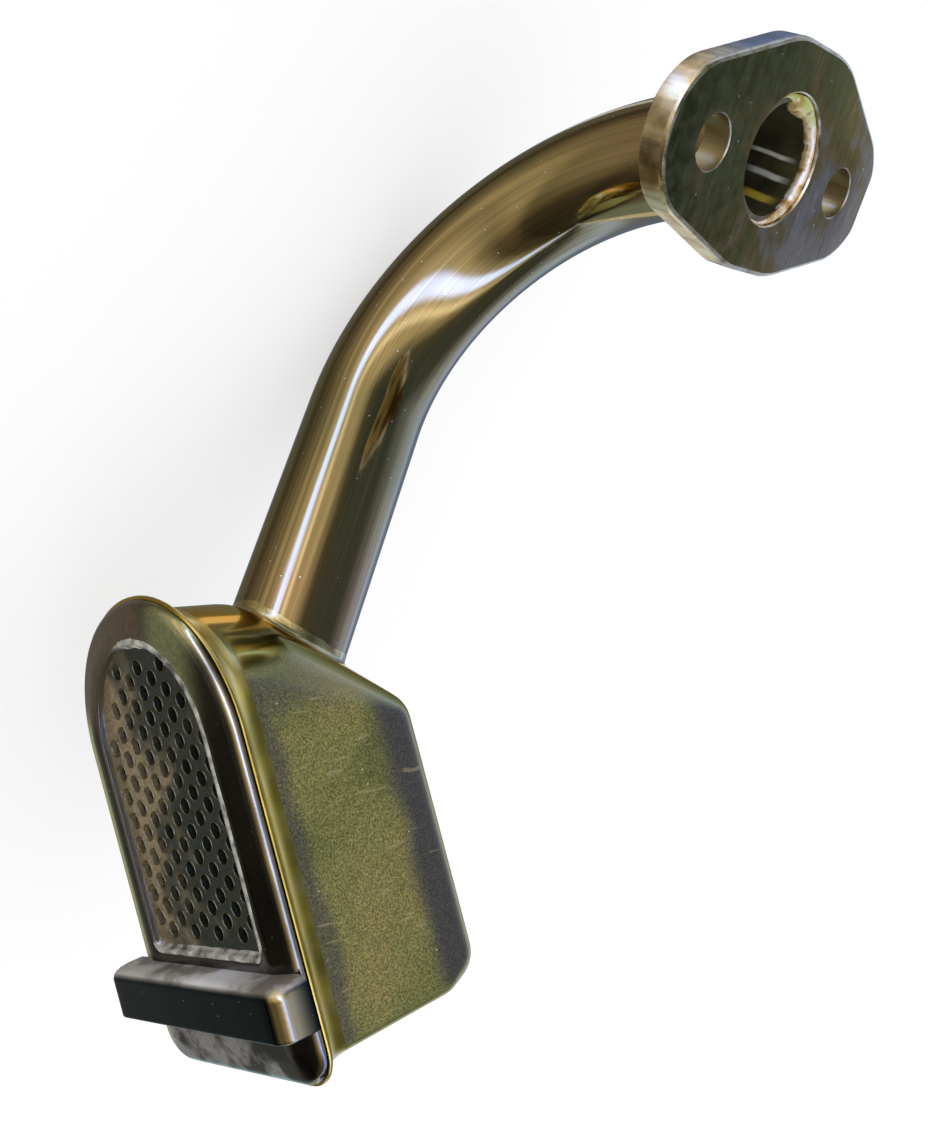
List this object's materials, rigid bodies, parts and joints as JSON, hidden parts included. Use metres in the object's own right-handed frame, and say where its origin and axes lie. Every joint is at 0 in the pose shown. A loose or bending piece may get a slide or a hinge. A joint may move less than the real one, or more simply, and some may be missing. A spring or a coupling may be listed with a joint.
{
  "type": "oil pickup tube",
  "caption": "Bent suction tube with an oval bolt-on flange at one end and a drawn strainer box with a perforated screen and foot bar at the other.",
  "frame": {"origin": "midway between the two bolt holes, on the mounting face of the flange", "axes": "+X along the bolt line towards the trimmed end of the flange, +Z out of the mounting face, +Y across the flange to the side away from the strainer"},
  "size_m": [0.1165, 0.193, 0.0887],
  "materials": {
    "flange_steel": "dark plated steel, fine machining streaks",
    "plated_tube": "glossy yellow-chromate plating",
    "plated_sheet": "satin yellow-chromate plating",
    "plated_frame": "glossy yellow-chromate plating over a rolled edge",
    "screen_steel": "dark perforated sheet",
    "foot_steel": "dark glossy plated steel",
    "weld_metal": "bright uneven bead",
    "braze_metal": "satin fillet"
  },
  "bodies": {
    "root": {"flange": "flange_steel", "tube": "plated_tube", "strainer_housing": "plated_sheet", "screen_frame": "plated_frame", "screen": "screen_steel", "foot_bar": "foot_steel", "flange_weld": "weld_metal", "tube_braze": "braze_metal"}
  },
  "joints": []
}
